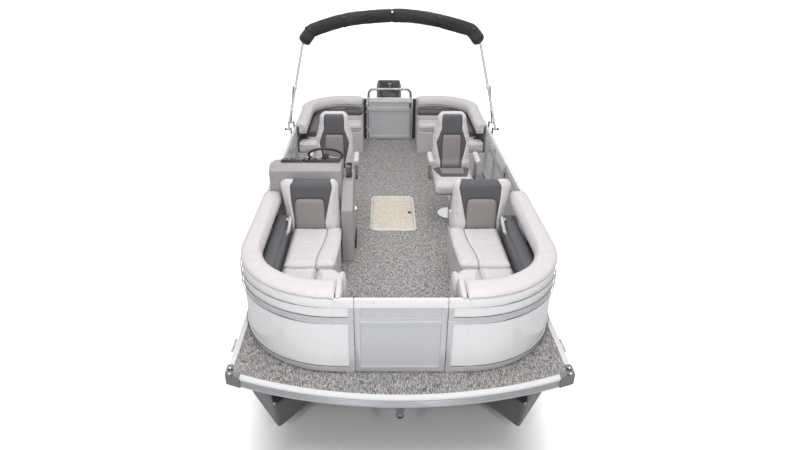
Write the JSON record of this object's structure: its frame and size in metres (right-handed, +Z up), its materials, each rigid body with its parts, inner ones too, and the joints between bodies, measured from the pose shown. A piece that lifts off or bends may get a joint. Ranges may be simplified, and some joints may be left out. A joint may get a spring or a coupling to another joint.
{
  "type": "pontoon boat",
  "caption": "Twin-tube pontoon boat with a railed deck, three gates, lounges, swivel chairs, helm, furled bimini top and a tilting outboard motor.",
  "frame": {"origin": "middle of the boat's box, on the floor under its two keel strips", "axes": "+X to port, +Y toward the stern, +Z up"},
  "size_m": [2.684, 7.3861, 2.8343],
  "materials": {
    "tube_aluminium": "mill-finish rolled sheet with welded seams",
    "frame_aluminium": "satin anodised extrusion",
    "cast_metal": "polished casting",
    "stainless": "polished tube",
    "vinyl_floor": "woven flecked vinyl",
    "white_panel": "gloss white sheet",
    "grey_panel": "satin pale grey sheet",
    "light_upholstery": "marine vinyl, pale warm grey",
    "dark_upholstery": "marine vinyl, charcoal",
    "seat_base": "moulded plastic",
    "console_plastic": "moulded, light grey",
    "black_plastic": "moulded, black",
    "cream_plastic": "gel-coated lid",
    "locker_plastic": "moulded tub",
    "black_paint": "gloss black",
    "engine_metal": "plain block",
    "black_canvas": "woven acrylic canvas"
  },
  "bodies": {
    "hull": {"pontoon_tubes": "tube_aluminium", "tube_risers": "tube_aluminium", "cross_members": "tube_aluminium", "deck": "vinyl_floor", "deck_rails": "frame_aluminium", "bow_castings": "cast_metal", "cleats": "stainless", "bow_eye": "stainless", "fence_frames": "frame_aluminium", "fence_panels": "white_panel", "bow_lounge_bases": "seat_base", "coamings": "light_upholstery", "lounge_side_panels": "dark_upholstery", "bow_lounge_pads": "light_upholstery", "bow_backrests": "light_upholstery", "stern_lounge_bases": "seat_base", "stern_lounge_pads": "light_upholstery", "helm_console": "console_plastic", "helm_wing": "console_plastic", "helm_dash": "black_plastic", "throttle": "black_plastic", "chair_pedestals": "frame_aluminium", "hatch_locker": "locker_plastic", "ski_tow_bar": "stainless", "transom_pod": "tube_aluminium", "bimini_mounts": "black_plastic"},
    "bow_gate": {"bow_gate_frame": "frame_aluminium", "bow_gate_panel": "grey_panel"},
    "stern_gate": {"stern_gate_frame": "frame_aluminium", "stern_gate_panel": "grey_panel"},
    "side_gate": {"side_gate_frame": "frame_aluminium", "side_gate_panel": "white_panel"},
    "starboard_bow_lid": {"starboard_bow_seat": "light_upholstery"},
    "port_bow_lid": {"port_bow_seat": "light_upholstery"},
    "starboard_stern_lid": {"starboard_stern_seat": "light_upholstery"},
    "port_stern_lid": {"port_stern_seat": "light_upholstery"},
    "floor_hatch": {"hatch_lid": "cream_plastic"},
    "helm_wheel": {"steering_wheel": "black_plastic"},
    "helm_chair": {"helm_chair_seat": "light_upholstery", "helm_chair_back": "light_upholstery"},
    "port_chair": {"port_chair_seat": "light_upholstery", "port_chair_back": "light_upholstery"},
    "ladder": {"boarding_ladder": "stainless"},
    "motor_tilt": {"motor_swivel": "black_paint"},
    "motor": {"outboard_leg": "black_paint", "outboard_cowl": "black_paint", "powerhead": "engine_metal"},
    "prop": {"propeller": "black_paint"},
    "bimini": {"bimini_frame": "stainless", "bimini_boot": "black_canvas"},
    "bimini_brace": {"bimini_braces": "stainless"}
  },
  "joints": [
    {"name": "bow_gate_swing", "type": "hinge", "parent": "hull", "child": "bow_gate", "pos_m": [0.332, -3.38087, 1.1], "axis": [0, 0, -1], "range_deg": [0, 90]},
    {"name": "stern_gate_swing", "type": "hinge", "parent": "hull", "child": "stern_gate", "pos_m": [-0.342, 1.90713, 1.1], "axis": [0, 0, -1], "range_deg": [0, 90]},
    {"name": "side_gate_swing", "type": "hinge", "parent": "hull", "child": "side_gate", "pos_m": [1.271, -1.48887, 1.1], "axis": [0, 0, -1], "range_deg": [0, 90]},
    {"name": "starboard_bow_seat_lift", "type": "hinge", "parent": "hull", "child": "starboard_bow_lid", "pos_m": [-0.987, -2.21187, 1.22], "axis": [0, -1, 0], "range_deg": [0, 75]},
    {"name": "port_bow_seat_lift", "type": "hinge", "parent": "hull", "child": "port_bow_lid", "pos_m": [0.987, -2.21187, 1.22], "axis": [0, 1, 0], "range_deg": [0, 75]},
    {"name": "starboard_stern_seat_lift", "type": "hinge", "parent": "hull", "child": "starboard_stern_lid", "pos_m": [-0.987, 1.00813, 1.22], "axis": [0, -1, 0], "range_deg": [0, 75]},
    {"name": "port_stern_seat_lift", "type": "hinge", "parent": "hull", "child": "port_stern_lid", "pos_m": [0.987, 1.00813, 1.22], "axis": [0, 1, 0], "range_deg": [0, 75]},
    {"name": "hatch_lift", "type": "hinge", "parent": "hull", "child": "floor_hatch", "pos_m": [-0.244, -0.70187, 0.8125], "axis": [0, -1, 0], "range_deg": [0, 95]},
    {"name": "helm_chair_swivel", "type": "hinge", "parent": "hull", "child": "helm_chair", "pos_m": [-0.67, -0.73187, 1.2], "axis": [0, 0, 1], "range_deg": [-90, 90]},
    {"name": "port_chair_swivel", "type": "hinge", "parent": "hull", "child": "port_chair", "pos_m": [0.67, -0.73187, 1.2], "axis": [0, 0, 1], "continuous": true},
    {"name": "ladder_flip", "type": "hinge", "parent": "hull", "child": "ladder", "pos_m": [-0.785, 2.75013, 0.825], "axis": [-1, 0, 0], "range_deg": [0, 270]},
    {"name": "motor_tilt", "type": "hinge", "parent": "hull", "child": "motor_tilt", "pos_m": [0, 2.80813, 0.64], "axis": [1, 0, 0], "range_deg": [-35, 25]},
    {"name": "motor_steer", "type": "hinge", "parent": "motor_tilt", "child": "motor", "pos_m": [0, 2.89824, 0.70309], "axis": [0, -0.5736, 0.8192], "range_deg": [-30, 30]},
    {"name": "propeller_spin", "type": "hinge", "parent": "motor", "child": "prop", "pos_m": [0, 3.56187, 0.31323], "axis": [0, 0.8192, 0.5736], "continuous": true},
    {"name": "steering_wheel_turn", "type": "hinge", "parent": "hull", "child": "helm_wheel", "pos_m": [-0.705, -1.17487, 1.685], "axis": [0, 0.6691, 0.7431], "range_deg": [-540, 540]},
    {"name": "bimini_fold", "type": "hinge", "parent": "hull", "child": "bimini", "pos_m": [0, 0.25813, 1.5], "axis": [-1, 0, 0], "range_deg": [-33, 45]},
    {"name": "bimini_brace_fold", "type": "hinge", "parent": "hull", "child": "bimini_brace", "pos_m": [0, 0.52813, 1.5], "axis": [-1, 0, 0], "range_deg": [-33, 45]}
  ],
  "couplings": [
    {"joint": "steering_wheel_turn", "follows": "motor_steer", "ratio": -18},
    {"joint": "bimini_brace_fold", "follows": "bimini_fold", "ratio": 1}
  ]
}
